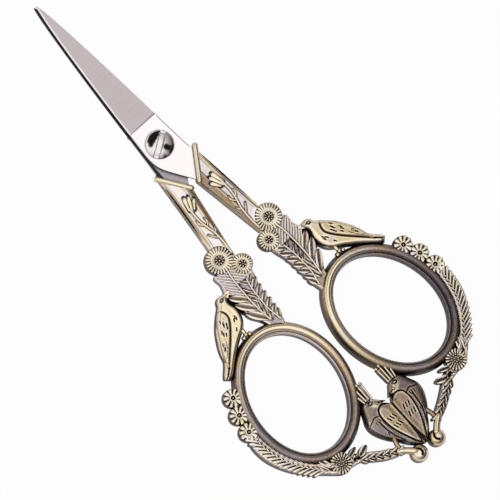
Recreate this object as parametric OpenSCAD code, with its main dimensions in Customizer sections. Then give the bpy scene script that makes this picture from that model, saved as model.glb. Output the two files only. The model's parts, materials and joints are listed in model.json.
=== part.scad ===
// Embroidery scissors with cast songbird and chrysanthemum bows, lying closed.
// +Y runs from the bows to the tips and +Z is up. The origin is under the middle
// of the overall length and width, on the plane that the scissors lie on.
// Each half is drawn about the pivot axis, and the rear half mirrors the front one.

/* [Blades] */
// Pivot axis to the tips
blade_reach = 40; // [34:0.5:46]
// Thickness of one blade
blade_t = 1.3; // [1.1:0.05:1.4]
// Gap between the two flat inner faces
blade_gap = 0.08; // [0.06:0.01:0.1]
// Pivot axis to the cutting edge's side, beside the pivot
edge_w = 4.2; // [4:0.05:4.4]
// Pivot axis to the spine, beside the pivot
spine_w = 3.5; // [3.3:0.05:3.8]
// Power of the cutting edge's taper, where 1 is a straight line
edge_belly = 0.78; // [0.7:0.01:0.9]
// Power of the spine's taper
spine_belly = 0.7; // [0.65:0.01:0.85]
// Pivot axis to the shoulder where the grinding ends
grind_from = 5.7; // [5:0.1:7]
// Slope of the ground face, spine to edge, in degrees
grind_slope = 7.5; // [6:0.5:8]
// Depth of the ground face below the polished face, at the spine
grind_drop = 0.06; // [0.04:0.01:0.1]

/* [Pivot screw] */
// Radius of the domed head
head_r = 3.15; // [2.8:0.05:3.3]
// Height of the head's straight side
head_side = 0.35; // [0.25:0.05:0.5]
// Rise of the dome above that side
head_dome = 0.75; // [0.6:0.05:0.9]
// Gap between the head and the front blade
head_gap = 0.03; // [0.02:0.01:0.05]
// Width of the screwdriver slot
slot_w = 1.1; // [0.9:0.1:1.3]
// Depth of the screwdriver slot
slot_d = 0.6; // [0.4:0.05:0.7]
// Turn of the slot from +X, in degrees
slot_turn = 31; // [0:1:60]
// Radius of the shank
shank_r = 1.5; // [1.3:0.05:1.7]
// Running clearance round the shank in the front blade
run_gap = 0.05; // [0.03:0.01:0.08]
// Clearance round the shank in the rear blade, which holds it
hold_gap = 0.02; // [0.01:0.01:0.03]

/* [Castings] */
// Thickness of the bows and shanks
cast_t = 4; // [3.8:0.1:4.4]
// Height of the recessed ground between the ornaments
ground_t = 2.5; // [2.2:0.1:2.7]
// Height of the leaves below the top of the bows
leaf_drop = 0.3; // [0.2:0.05:0.4]
// Rise of the birds and beads above the top of the bows
bird_rise = 0.2; // [0.15:0.01:0.25]
// Height of each of the two steps under the leaves' tops
relief_step = 0.35; // [0.3:0.05:0.4]
// Draft of the cast walls, as a share of their height
draft = 0.06; // [0.04:0.01:0.08]
// Rounding of the leaves' and petals' edges
ease = 0.5; // [0.4:0.05:0.6]
// Rounding of the bow's bar
bar_round = 1.3; // [1.1:0.05:1.4]
// Rounding of the shank's shoulders and of the birds' bodies
body_round = 1; // [0.8:0.05:1.1]
// Clearance between a tang and its socket
tang_fit = 0.04; // [0.02:0.01:0.06]
// Radius of the bead round the mouth of the socket
bead_r = 0.42; // [0.35:0.01:0.5]

/* [Bows] */
// Gap between the two bows
bow_gap = 1.4; // [1.3:0.05:2]
// Pivot axis to a bow's centre, towards the user
bow_y = 59.55; // [58:0.05:61]
// Half the width of a finger hole
hole_a = 10.1; // [9.5:0.05:10.3]
// Half the length of a finger hole
hole_b = 13.6; // [12.5:0.05:14]
// Width of the bow's bar
bar_w = 2.9; // [2.6:0.1:3]
// Lean of the bow's long axis towards the middle, in degrees
bow_lean = 10.8; // [8:0.2:13]

/* [Ornament] */
// Radius of the large flower on the shank
big_flower_r = 3.1; // [2.8:0.05:3.3]
// Petals of the large flower
big_petals = 24; // [16:2:28]
// Radius of the small flower beside it
small_flower_r = 2.35; // [2:0.05:2.5]
// Petals of the small flower
small_petals = 18; // [12:2:22]
// Radius of the three flowers on the bow
bow_flower_r = 2.1; // [1.8:0.05:2.3]
// Petals of the three flowers on the bow
bow_petals = 11; // [9:1:14]
// Radius of the flower between the garlands
low_flower_r = 2.45; // [2.1:0.05:2.6]
// Petals of the flower between the garlands
low_petals = 18; // [14:2:22]
// Leaf pairs of the garland on the bow
upper_pairs = 9; // [6:1:11]
// Leaf pairs of the garland below the bow
lower_pairs = 5; // [4:1:7]
// Leaf pairs on each rib of the leaf spray
spray_pairs = 6; // [4:1:8]
// Radius of the scroll at the end of the garland
scroll_r = 1.95; // [1.7:0.05:2.1]
// Half the gap between the two low birds' backs
back_gap = 0.35; // [0.3:0.01:0.4]

/* [Hidden] */

bronze = "#b89f6e";
steel = "#c9c4c6";
polished = "#dcd8d8";

$fn = 48;
// Levels
mid_z = cast_t / 2;
front_z = mid_z + blade_gap / 2;
rear_z = mid_z - blade_gap / 2 - blade_t;
leaf_t = cast_t - leaf_drop;
bird_t = cast_t + bird_rise;
levels = [0, ground_t, leaf_t - 2 * relief_step, leaf_t - relief_step, leaf_t, cast_t, bird_t];

// Mouth of the socket: its outer and inner end, and its direction
mouth_out = [5.25, -4.9];
mouth_in = [0.83, -11.3];
mouth_wall = 0.9;
along = (mouth_in - mouth_out) / norm(mouth_in - mouth_out);
into = [-along.y, along.x];

// Shank of a handle, from the mouth to the flowers
shank_foot_in = [3.7, -28.5];
shank_foot_out = [8.2, -28.5];
shank_hip = [7.3, -23.5];

// Heel of a blade, below the pivot
heel_corner = [4.6, -4.2];
heel_turn = [[0.42, -9.95], [-2.75, -5.2], [-3.35, -4.1], [-spine_w, -3]];
// Tang of a blade, inside its socket
tang = [
    mouth_out + along * mouth_wall, [4.75, -8], [4.5, -10.9], [5.5, -19.9],
    [3.7, -20.1], [2.35, -11.3], mouth_in - along * mouth_wall
];

// Bow
bow_steps = 60;
bow_x = bow_gap / 2 + norm([(hole_a + bar_w) * cos(bow_lean), (hole_b + bar_w) * sin(bow_lean)]);
bow_c = [bow_x, -bow_y];

// Flowers and ends
big_flower = [7.2, -27.15];
small_flower = [3.9, -30.95];
bow_flowers = [21.5, 8, -6];
bow_flower_out = 0.5;
low_flower_turn = -91;
low_flower_out = 1.25;
spray_turn = 108;
perch_turn = 76.5;
scroll_drop = 27.2;
scroll_c = [back_gap + 2.2, -bow_y - scroll_drop];
tail_c = [back_gap, -bow_y - 26.35];

pivot_y = (bow_y + scroll_drop + scroll_r - blade_reach) / 2;

function turned(p, a) = [p.x * cos(a) - p.y * sin(a), p.x * sin(a) + p.y * cos(a)];
// Point outside the bow's bar, by angle and distance
function by_bow(a, out = 0) =
    bow_c + turned([(hole_a + bar_w + out) * cos(a), (hole_b + bar_w + out) * sin(a)], bow_lean);
// Point and heading on a curve with one control point
function curve(a, b, c, t) = (1 - t) * (1 - t) * a + 2 * t * (1 - t) * b + t * t * c;
function heading(p, q) = atan2(q.y - p.y, q.x - p.x);
// Half width of a blade at a height above the pivot
function half_w(w, belly, y) = w * pow(1 - y / blade_reach, belly);

blade_steps = 12;
blade_outline = concat(
    [for (i = [blade_steps:-1:0]) let (y = blade_reach * i / blade_steps) [half_w(edge_w, edge_belly, y), y]],
    [heel_corner], tang, heel_turn,
    [for (i = [0:blade_steps - 1]) let (y = blade_reach * i / blade_steps) [-half_w(spine_w, spine_belly, y), y]]
);

// Blade lying with its flat inner face at height 0 and its spine towards -X
module blade(bore_r) {
    difference() {
        linear_extrude(blade_t) polygon(blade_outline);
        translate([-spine_w, grind_from, blade_t - grind_drop]) rotate([0, grind_slope, 0])
            cube([3 * edge_w, blade_reach, blade_t]);
        translate([0, 0, -blade_t]) cylinder(r = bore_r, h = 3 * blade_t);
    }
}

module at_pivot() translate([0, pivot_y, 0]) children();

module front_blade() {
    color(steel) at_pivot() translate([0, 0, front_z]) blade(shank_r + run_gap);
}

module rear_blade() {
    color(steel) at_pivot() translate([0, 0, rear_z + blade_t]) rotate([0, 180, 0])
        blade(shank_r + hold_gap);
}

// How far an edge of a given rounding has drawn in at height z, below the top
function drawn_in(z, top, round) =
    let (h = max(z - (top - round), 0)) draft * (z - mid_z) + round - sqrt(max(round * round - h * h, 0));

// Outline of a feature at the height $z of the present layer, if it reaches that high
module feature(top, round = ease) {
    if ($z < top) offset(delta = -drawn_in($z, top, round)) children();
}

// Bar with round ends, from p to q
module bar(p, q, r) {
    a = heading(p, q);
    polygon([
        for (t = [90:30:270]) p + r * [cos(a + t), sin(a + t)],
        for (t = [-90:30:90]) q + r * [cos(a + t), sin(a + t)]
    ]);
}

// Stem of constant width along a curve
module stem(a, b, c, r, top) {
    n = 8;
    at = [for (i = [0:n]) curve(a, b, c, i / n)];
    side = [for (i = [0:n]) let (d = heading(curve(a, b, c, (i - 0.5) / n), curve(a, b, c, (i + 0.5) / n)))
        r * [-sin(d), cos(d)]];
    feature(top) polygon([for (i = [0:n]) at[i] + side[i], for (i = [n:-1:0]) at[i] - side[i]]);
}

// Leaf from its foot, by heading, length and width
module leaf(foot, turn, l, w, top = leaf_t) {
    heel = 0.35;
    feature(top) translate(foot) rotate(turn)
        polygon([[-heel, 0], [0.5 * l, w / 2], [0.8 * l, w / 3], [l, 0], [0.8 * l, -w / 3], [0.5 * l, -w / 2]]);
}

// Daisy-like flower, whose petals part further down to its middle on each higher layer
module flower(at, r, petals) {
    shallow = r * (1 - sin(180 / petals));
    core_r = 0.35 * r;
    depth = max($z - ground_t, 0) / (cast_t - ground_t);
    valley_r = shallow + (core_r - shallow) * depth;
    feature(cast_t) translate(at) polygon([
        for (i = [0:petals - 1]) for (k = [0, 0.3, 0.7]) let (a = (i + k) * 360 / petals)
            (k == 0 ? valley_r : r) * [cos(a), sin(a)]
    ]);
    feature(bird_t) translate(at) circle(core_r);
}

// Pairs of leaves along a curve, swept out from it
module garland(a, b, c, pairs, sweep, l, w) {
    for (i = [0:pairs - 1]) {
        p = curve(a, b, c, (i + 0.5) / pairs);
        q = curve(a, b, c, (i + 0.6) / pairs);
        for (side = [-1, 1]) leaf(p, heading(p, q) + side * sweep, l, w);
    }
}

module bow() {
    feature(cast_t, bar_round) translate(bow_c) rotate(bow_lean) difference() {
        polygon([for (i = [1:bow_steps]) let (a = 360 * i / bow_steps)
            [(hole_a + bar_w) * cos(a), (hole_b + bar_w) * sin(a)]]);
        polygon([for (i = [1:bow_steps]) let (a = 360 * i / bow_steps) [hole_a * cos(a), hole_b * sin(a)]]);
    }
}

module shank() {
    feature(cast_t, body_round) polygon([mouth_out, mouth_in, shank_foot_in, shank_foot_out, shank_hip]);
    // Bead round the mouth
    feature(bird_t) bar(mouth_out + bead_r * into, mouth_in + bead_r * into, bead_r);
    // Tulip bud and its stem
    feature(bird_t) {
        bar([2.7, -12.6], [4.1, -14.6], 0.4);
        bar([3.9, -11.9], [4.4, -14.6], 0.4);
        bar([5, -13], [4.6, -14.9], 0.4);
    }
    stem([4.5, -15], [5.4, -19], [3.7, -24], 0.28, bird_t);
    stem([3.7, -24], [3.4, -26], [4.3, -28.5], 0.28, bird_t);
    leaf([4, -24], 60, 2.8, 1, bird_t);
    leaf([4.7, -18.7], 120, 1.6, 0.9, bird_t);
}

module leaf_spray() {
    foot = by_bow(spray_turn, -bar_w / 3);
    feature(ground_t, 0) polygon([
        small_flower + [-0.9, 0.6], small_flower + [-0.8, -2.6], foot + [-3.2, 6.2], foot + [-2.9, 2.4],
        foot + [-2.2, -0.6], foot + [-1.5, -1.4], foot + [1, 0.1], foot + [1.4, 1.5], foot + [2.5, 2.5],
        foot + [3.4, 3.8], foot + [3.6, 4.7], perch() + [-1.8, 3.3], perch() + [-1.4, 8.8], perch() + [-2.7, 10.1],
        big_flower + [3.3, -4.3], big_flower + [2.8, -1.9]
    ]);
    spray_rib(big_flower + [0.2, -3.4], foot + [1.6, 6.4], foot + [0.4, 0.5], 3.3, 2.6);
    spray_rib(small_flower + [0.3, -1.2], foot + [-1.2, 6.4], foot + [0, 0.4], 2.5, 2.1);
    leaf(big_flower + [1.2, -4.6], 52, 3, 1.1);
}

// Rib of the spray, with leaves swept back and longer on its outer side
module spray_rib(a, b, c, l_out, l_in) {
    sweep = 145;
    stem(a, b, c, 0.25, leaf_t);
    for (i = [1:spray_pairs]) {
        p = curve(a, b, c, i / (spray_pairs + 0.5));
        leaf(p, heading(a, c) + sweep, l_out, 1.2);
        leaf(p, heading(a, c) - sweep, l_in, 1.1);
    }
}

// Songbird perched on the bow, drawn from its feet
module perched_bird() {
    translate(perch()) {
        feature(cast_t, body_round) polygon([
            [-2.9, 9.7], [-1.8, 10.1], [-0.8, 10.25], [-0.1, 9.8], [0.4, 8.8], [2, 7.1], [4, 5], [5.6, 2.6],
            [6.6, 0.6], [7.1, -1.1], [9.4, -3.2], [9.8, -3.8], [8.7, -4.7], [7.5, -4.4], [1.5, 0.5],
            [-0.8, 1.8], [-1.8, 3.1], [-2.4, 4.6], [-2.4, 6.4], [-2, 8], [-2, 8.7]
        ]);
        // Wing
        feature(bird_t) polygon([
            [0.2, 6.8], [1, 7.2], [2, 6.6], [4.2, 4], [5.8, 1.6], [6.9, -0.9], [4.6, 0.4], [1.4, 3.2], [0, 5.4]
        ]);
        feature(ground_t + ease) for (toe = [-1, 1]) bar([-0.1, 2], [toe, -0.4], 0.35);
        feature(ground_t, 0) polygon([
            [-2, 3], [-1.6, 1.1], [-1.9, 0.2], [-1.5, -1], [3, -1.6], [8.2, -6.2], [8.8, -4.6], [1.5, 0.9]
        ]);
    }
}

function perch() = by_bow(perch_turn);

// Songbird at the foot of the bow, back to back with its twin, drawn from its tail
module low_bird() {
    translate(tail_c) {
        feature(cast_t, body_round) polygon([
            [0, 0], [0.85, 0.45], [2.65, 2.15], [4.05, 4.15], [5.25, 5.25], [6.75, 8.15], [7.2, 10.15],
            [7, 11.45], [6.35, 12.65], [5.55, 14.55], [4.85, 15.45], [4.25, 15.55], [2.95, 15.05],
            [2.1, 14.65], [1.55, 13.85], [0.1, 12.55], [1, 12.3], [0.3, 11.9], [0, 11.3]
        ]);
        // Wing
        feature(bird_t) polygon([
            [0.3, 10.8], [1, 11.8], [2.2, 11.9], [3, 10.8], [3.3, 8.4], [2.4, 5], [0.9, 1], [0.3, 1]
        ]);
        // Crest that joins the head to the bow
        for (i = [0:3]) feature(cast_t) bar([2.3 + 0.75 * i, 18.7 - 0.5 * i], [2.6 + 0.55 * i, 14.9], 0.34);
        feature(ground_t, 0) polygon([[2, 18.9], [3.6, 18.9], [6, 15], [4.6, 14], [2.2, 14.6]]);
        // Leg, and the ground between tail and stem
        feature(ground_t + ease) bar([4.6, 4.8], [5.1, 2.6], 0.38);
        feature(ground_t, 0) polygon([[0.3, 0.2], [4.1, 4.3], [5, 3.4], [4.4, 1.4], [2.2, -0.4]]);
    }
}

module garlands() {
    low_flower = by_bow(low_flower_turn, low_flower_out);
    top = by_bow(-10, 0.45);
    upper_end = low_flower + [3, 1.6];
    upper_turn = by_bow(-48, 4.4);
    stem(top, upper_turn, upper_end, 1.1, ground_t + ease);
    garland(upper_end, upper_turn, top, upper_pairs, 28, 2.5, 1.3);
    lower_from = low_flower + [-1.8, -2];
    lower_to = scroll_c + [2.7, 3.1];
    lower_turn = (lower_from + lower_to) / 2 + [0.3, -0.4];
    stem(lower_from, lower_turn, lower_to, 1, ground_t + ease);
    garland(lower_from, lower_turn, lower_to, lower_pairs, 26, 2.3, 1.3);
    leaf(low_flower + [-1.7, -0.1], 177, 3.1, 1.5);
    leaf(low_flower + [-1.6, -1.6], 175, 5.4, 1.8);
    leaf(low_flower + [1.6, 0.4], 54, 4, 1.4);
    leaf(low_flower + [2.3, -0.6], 46, 4.6, 1.5);
    // Plain end of the stem and its scroll
    stem(lower_to + [0.3, 0.2], scroll_c + [1.7, 1.6], scroll_c + [0.6, 1.1], 0.75, leaf_t);
    feature(cast_t, body_round) translate(scroll_c) circle(scroll_r);
    feature(bird_t) translate(scroll_c + [-0.2, -0.2]) circle(scroll_r / 3);
}

// Outline of everything cast in one piece, on the +X side, at the height $z
module casting_outline() {
    bow();
    shank();
    leaf_spray();
    flower(big_flower, big_flower_r, big_petals);
    flower(small_flower, small_flower_r, small_petals);
    for (a = bow_flowers) flower(by_bow(a, bow_flower_out), bow_flower_r, bow_petals);
    flower(by_bow(low_flower_turn, low_flower_out), low_flower_r, low_petals);
    garlands();
    perched_bird();
    low_bird();
}

// The casting, built up in layers that each lie within the one below
module casting() {
    for (i = [0:len(levels) - 2]) translate([0, 0, levels[i]]) linear_extrude(levels[i + 1] - levels[i])
        offset(delta = 0) casting_outline($z = (levels[i] + levels[i + 1]) / 2, $fn = 24);
}

// Casting with a socket for its blade's tang, whose inner face lies at height z
module handle(z) {
    mouth = [tang[0] - into, each tang, tang[len(tang) - 1] - into];
    difference() {
        casting();
        translate([0, 0, z - tang_fit]) linear_extrude(blade_t + 2 * tang_fit) offset(delta = tang_fit)
            polygon(mouth);
    }
}

module front_handle() {
    color(bronze) at_pivot() handle(front_z);
}

module rear_handle() {
    color(bronze) at_pivot() mirror([1, 0, 0]) handle(rear_z);
}

module pivot_screw() {
    seat = front_z + blade_t + head_gap;
    ball_r = (head_r * head_r + head_dome * head_dome) / (2 * head_dome);
    color(polished) at_pivot() {
        translate([0, 0, rear_z]) cylinder(r = shank_r, h = seat - rear_z);
        difference() {
            intersection() {
                translate([0, 0, seat]) cylinder(r = head_r, h = head_side + head_dome);
                translate([0, 0, seat + head_side + head_dome - ball_r]) sphere(r = ball_r);
            }
            translate([0, 0, seat + head_side + head_dome]) rotate(slot_turn)
                cube([3 * head_r, slot_w, 2 * slot_d], center = true);
        }
    }
}

front_blade();
rear_blade();
front_handle();
rear_handle();
pivot_screw();
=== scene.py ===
import json
import math

import bpy
import numpy as np
from mathutils import Matrix, Vector
from mathutils.geometry import delaunay_2d_cdt

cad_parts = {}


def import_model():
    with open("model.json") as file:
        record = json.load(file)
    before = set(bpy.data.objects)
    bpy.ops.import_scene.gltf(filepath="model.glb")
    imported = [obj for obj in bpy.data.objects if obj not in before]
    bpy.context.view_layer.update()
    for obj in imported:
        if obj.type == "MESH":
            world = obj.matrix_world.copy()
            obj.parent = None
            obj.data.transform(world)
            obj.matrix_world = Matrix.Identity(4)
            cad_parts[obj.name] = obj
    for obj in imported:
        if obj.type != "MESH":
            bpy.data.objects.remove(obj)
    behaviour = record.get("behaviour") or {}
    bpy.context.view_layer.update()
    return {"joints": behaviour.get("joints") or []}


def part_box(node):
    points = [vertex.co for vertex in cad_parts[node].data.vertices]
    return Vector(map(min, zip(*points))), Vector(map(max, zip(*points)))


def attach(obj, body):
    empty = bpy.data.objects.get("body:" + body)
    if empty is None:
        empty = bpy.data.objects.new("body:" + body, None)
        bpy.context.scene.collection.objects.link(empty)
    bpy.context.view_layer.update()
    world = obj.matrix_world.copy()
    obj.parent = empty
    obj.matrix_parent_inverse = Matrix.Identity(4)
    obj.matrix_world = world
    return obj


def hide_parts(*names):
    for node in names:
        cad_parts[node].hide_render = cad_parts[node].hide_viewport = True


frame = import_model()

# Embroidery scissors with cast songbird bows. Shapes are worked out in millimetres about the
# pivot axis, for the half on the +X side, and the other half mirrors them. A shape is its
# (vertices, faces). Each vertex is x, y, z and its rub, 0 to 1: how far the finish is
# rubbed off there, with painted light and shade mixed into the same number.

MM = 0.001
PIVOT = Vector(frame["joints"][0]["pos_m"])
TAU = 2 * math.pi

# Levels of the castings, above the plane that the scissors lie on
CAST_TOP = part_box("front_handle")[1].z / MM - 0.2
BIRD_TOP = CAST_TOP + 0.17
FOOT = 2.3                          # birds and scrolls curve in from here, and flowers stand here
BIRD_RISE = CAST_TOP - FOOT - 0.08
CLEAR = 0.02                        # undersides clear the table by this, so that they don't flicker

# Finger hole, its bar and its lean
HOLE_A, HOLE_B = 10.1, 13.6
BAR_W = 2.9
LEAN = math.radians(10.8)
BOW_GAP = 1.4
BOW = np.array([
    BOW_GAP / 2 + math.hypot((HOLE_A + BAR_W) * math.cos(LEAN), (HOLE_B + BAR_W) * math.sin(LEAN)),
    -59.55,
])

# Castings' landmarks
MOUTH_OUT, MOUTH_IN = np.array([5.25, -4.9]), np.array([0.83, -11.3])
BIG_FLOWER, SMALL_FLOWER = np.array([7.2, -27.15]), np.array([3.9, -30.95])
SCROLL = np.array([2.55, -86.75])
TAIL = np.array([0.35, -85.9])

# Making of the meshes
PITCH = 0.11                        # between the points of a relief
SHARP = math.radians(38)            # edges that turn by more are shaded sharp
CREST_GAIN, CREST_ROUNDS = 4.0, 16  # extra rub for each mm above the surroundings, and their reach
# Walls and undersides start from a low value, so that walls come out dark: painted shade
WALL_RUB_AND_SHADE = 0.25


# Small geometry helpers

def place(points):
    """Millimetres about the pivot axis to metres in the frame."""
    return np.asarray(points, float)[..., :3] * MM + np.array([PIVOT.x, PIVOT.y, 0.0])


def turned(x, y, angle):
    """Point or points turned about the origin."""
    return np.array([x * math.cos(angle) - y * math.sin(angle), x * math.sin(angle) + y * math.cos(angle)])


def by_bow(degrees, out=0.0):
    """Point outside the bow's bar, by angle and distance."""
    a = math.radians(degrees)
    return BOW + turned((HOLE_A + BAR_W + out) * math.cos(a), (HOLE_B + BAR_W + out) * math.sin(a), LEAN)


def circle(centre, radius, count):
    """Closed outline of that many points."""
    turns = TAU * np.arange(count) / count
    return np.array([centre + radius * np.array([math.cos(a), math.sin(a)]) for a in turns])


def bend(points, pitch=0.4, closed=False):
    """Smooth curve through the points. A point given twice is a sharp corner."""
    p = np.asarray(points, float)
    n = len(p)
    out = []
    for i in range(n if closed else n - 1):
        at = [p[(i + k) % n] if closed else p[min(max(i + k, 0), n - 1)] for k in (-1, 0, 1, 2)]
        length = np.linalg.norm(at[2] - at[1])
        if length == 0:
            continue
        for t in np.arange(0, 1, 1 / math.ceil(length / pitch)):
            out.append(0.5 * (2 * at[1] + (at[2] - at[0]) * t
                              + (2 * at[0] - 5 * at[1] + 4 * at[2] - at[3]) * t * t
                              + (3 * at[1] - at[0] - 3 * at[2] + at[3]) * t ** 3))
    if not closed:
        out.append(p[-1])
    return np.array(out)


def distance(points, line, closed=False):
    """Distance of each point to a line of straight pieces."""
    a = np.asarray(line, float)
    b = np.roll(a, -1, axis=0)
    if not closed:
        a, b = a[:-1], b[:-1]
    best = np.full(len(points), np.inf)
    for p, q in zip(a, b):
        along = q - p
        t = np.clip((points - p) @ along / max(along @ along, 1e-12), 0, 1)
        best = np.minimum(best, np.linalg.norm(points - p - t[:, None] * along, axis=1))
    return best


def inside(points, loop):
    """Whether each point lies inside a closed outline."""
    x, y = points[:, 0], points[:, 1]
    odd = np.zeros(len(points), bool)
    for p, q in zip(loop, np.roll(loop, -1, axis=0)):
        crosses = (p[1] > y) != (q[1] > y)
        height = q[1] - p[1] if q[1] != p[1] else 1.0
        odd ^= crosses & (x < (q[0] - p[0]) * (y - p[1]) / height + p[0])
    return odd


def dome(d, radius):
    """Quarter round that rises from 0 at an edge to 1 at a distance of radius."""
    return np.sqrt(1 - (1 - np.clip(d / radius, 0, 1)) ** 2)


def groove(points, z, line, width, depth, closed=False):
    """Cuts a soft groove along a line, or raises a ridge where depth is negative."""
    d = distance(points, line, closed) / width
    return z - depth * np.clip(1 - d * d, 0, 1) ** 2


def carve(points, z, cuts):
    """Soft grooves along lines, each with its width and depth."""
    for line, width, depth in cuts:
        z = groove(points, z, line, width, depth)
    return z


def ringed(z, far, rings):
    """Sunk rings of (radius, width, depth) round a point that is far away. A raised one is a pupil."""
    for radius, width, depth in rings:
        z = z - depth * np.exp(-((far - radius) / width) ** 2)
    return z


def under_flowers(points, z, big, small):
    """Lowers what lies within those radii of the two large flowers, which stand there."""
    for spot, radius in ((BIG_FLOWER, big), (SMALL_FLOWER, small)):
        z = np.where(np.linalg.norm(points - spot, axis=1) < radius, np.minimum(z, FOOT), z)
    return z


# Meshes

def new_piece(name, vertices, faces, warmth):
    """Warmth is the plating's tone, from silvery 0 to gold 1: a number, or a function of points."""
    mesh = bpy.data.meshes.new(name)
    mesh.from_pydata([tuple(v) for v in place(vertices)], [], [tuple(f) for f in faces])
    mesh.shade_smooth()
    mesh.set_sharp_from_angle(angle=SHARP)
    if callable(warmth):
        warmth = warmth(np.abs(vertices[:, :2]) * [1, -1])
    for key, values in (("rub", vertices[:, 3]), ("warmth", np.broadcast_to(warmth, len(vertices)))):
        layer = mesh.attributes.new(key, "FLOAT", "POINT")
        layer.data.foreach_set("value", np.ascontiguousarray(values, dtype=np.float32))
    piece = bpy.data.objects.new(name, mesh)
    bpy.context.scene.collection.objects.link(piece)
    return piece


def mirrored(vertices, faces):
    """The same shape for the half on the -X side, with its faces still pointing out."""
    flipped = np.array(vertices, float)
    flipped[:, 0] *= -1
    return flipped, [tuple(reversed(f)) for f in faces]


def dulled(shape, share):
    """The same shape with its finish less rubbed off."""
    shape[0][:, 3] *= share
    return shape


def join(*shapes):
    """Several (vertices, faces) as one."""
    vertices, faces, start = [], [], 0
    for v, f in shapes:
        vertices.append(np.asarray(v, float))
        faces.extend(tuple(i + start for i in face) for face in f)
        start += len(v)
    return np.concatenate(vertices), faces


def quads(rows, columns, round_rows=False, round_columns=False):
    """Faces between neighbouring rows of vertices. What is round closes on itself."""
    faces = []
    for i in range(rows if round_rows else rows - 1):
        j = (i + 1) % rows
        for k in range(columns if round_columns else columns - 1):
            q = (k + 1) % columns
            faces.append((i * columns + k, i * columns + q, j * columns + q, j * columns + k))
    return faces


def triangles(points, rim):
    """Triangulates points inside an outline, which is the first rim of them."""
    edges = [(i, (i + 1) % rim) for i in range(rim)]
    result = delaunay_2d_cdt([Vector(p) for p in points], edges, [], 1, 1e-7)
    if len(result[0]) != len(points):
        raise ValueError("an outline crosses itself")
    tri = np.array(result[2])
    a, b, c = (points[tri[:, k]] for k in range(3))
    turn = (b[:, 0] - a[:, 0]) * (c[:, 1] - a[:, 1]) - (b[:, 1] - a[:, 1]) * (c[:, 0] - a[:, 0])
    tri[turn < 0] = tri[turn < 0][:, ::-1]
    return tri


def relief(loop, height, detail=None, wear_and_light=0.6, base=CLEAR, pitch=PITCH, soften=0, fine_base=False):
    """Closed form with an upright wall, whose top lies at height(points, distance to the wall).
    The top is softened by that many rounds before detail(points, z, distance) cuts into it.
    Wear_and_light, how far the finish is rubbed off together with painted light and shade, is a
    number or a function like height. Crests come out more rubbed, and hollows less."""
    low, high = loop.min(axis=0), loop.max(axis=0)
    rows = np.arange(low[1], high[1], pitch * math.sqrt(0.75))
    x, y = np.meshgrid(np.arange(low[0], high[0], pitch), rows)
    x = x + (np.arange(len(rows)) % 2)[:, None] * pitch / 2
    grid = np.stack([x.ravel(), y.ravel()], axis=1)
    grid = grid[inside(grid, loop)]
    gap = distance(grid, loop, True)
    clear = gap > 0.7 * pitch       # of the outline, so that no triangle is a sliver
    grid, gap = grid[clear], gap[clear]
    points = np.concatenate([loop, grid])
    n, r = len(points), len(loop)
    d = np.concatenate([np.zeros(r), gap])
    tri = triangles(points, r)
    edges = np.concatenate([tri[:, [0, 1]], tri[:, [1, 2]], tri[:, [2, 0]]])
    edges = np.concatenate([edges, edges[:, ::-1]])
    count = np.maximum(np.bincount(edges[:, 0], minlength=n), 1)

    def eased(z, rounds):
        for _ in range(rounds):
            mean = np.bincount(edges[:, 0], z[edges[:, 1]], n) / count
            z = np.where(np.arange(n) < r, z, 0.5 * (z + mean))
        return z

    z = eased(height(points, d), soften)
    if detail:
        z = detail(points, z, d)
    share = wear_and_light(points, d) if callable(wear_and_light) else np.full(n, wear_and_light)
    rub = np.clip(share + CREST_GAIN * (z - eased(z, CREST_ROUNDS)), 0, 1)
    under = points if fine_base else loop
    vertices = np.concatenate([
        np.column_stack([points, z, rub]),
        np.column_stack([under, np.full(len(under), base), np.full(len(under), WALL_RUB_AND_SHADE)]),
    ])
    lower = tri if fine_base else triangles(loop, r)
    faces = [tuple(f) for f in tri] + [tuple(n + f[::-1]) for f in lower]
    area = np.sum(loop[:, 0] * np.roll(loop[:, 1], -1) - loop[:, 1] * np.roll(loop[:, 0], -1))
    step = 1 if area > 0 else -1
    for i in range(r):
        j = (i + step) % r
        faces.append((j, i, n + i, n + j))
    return vertices, faces


def bar(points, radius, z, wear_and_light=0.9, sides=12, pitch=0.3):
    """Round bar with round ends at one height, on a smooth curve through the points. Its radius is
    a number, or pairs of (share of the length, radius)."""
    path = bend(points, pitch)
    p = np.column_stack([path, np.full(len(path), z)])
    pairs = ((0, radius), (1, radius)) if np.isscalar(radius) else radius
    r = np.interp(np.linspace(0, 1, len(p)), *zip(*pairs))
    way = np.gradient(p, axis=0)
    way /= np.linalg.norm(way, axis=1)[:, None]
    cap = [math.pi / 2 * k / 4.5 for k in range(1, 5)]
    rings = [(p[0] - way[0] * r[0] * math.sin(a), r[0] * math.cos(a), way[0]) for a in reversed(cap)]
    rings += list(zip(p, r, way))
    rings += [(p[-1] + way[-1] * r[-1] * math.sin(a), r[-1] * math.cos(a), way[-1]) for a in cap]
    vertices = []
    for centre, q, w in rings:
        for i in range(sides):
            a = TAU * i / sides
            side = math.cos(a) * np.array([-w[1], w[0], 0]) + [0, 0, math.sin(a)]
            vertices.append([*(centre + q * side), wear_and_light * (0.5 + 0.7 * max(math.sin(a), 0))])
    last = (len(rings) - 1) * sides
    ends = [tuple(reversed(range(sides))), tuple(range(last, last + sides))]
    return np.array(vertices), quads(len(rings), sides, round_columns=True) + ends


# Materials

def linear(code):
    """sRGB hex to linear colour."""
    values = [int(code[i:i + 2], 16) / 255 for i in (1, 3, 5)]
    return (*[v / 12.92 if v <= 0.04045 else ((v + 0.055) / 1.055) ** 2.4 for v in values], 1.0)


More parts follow.
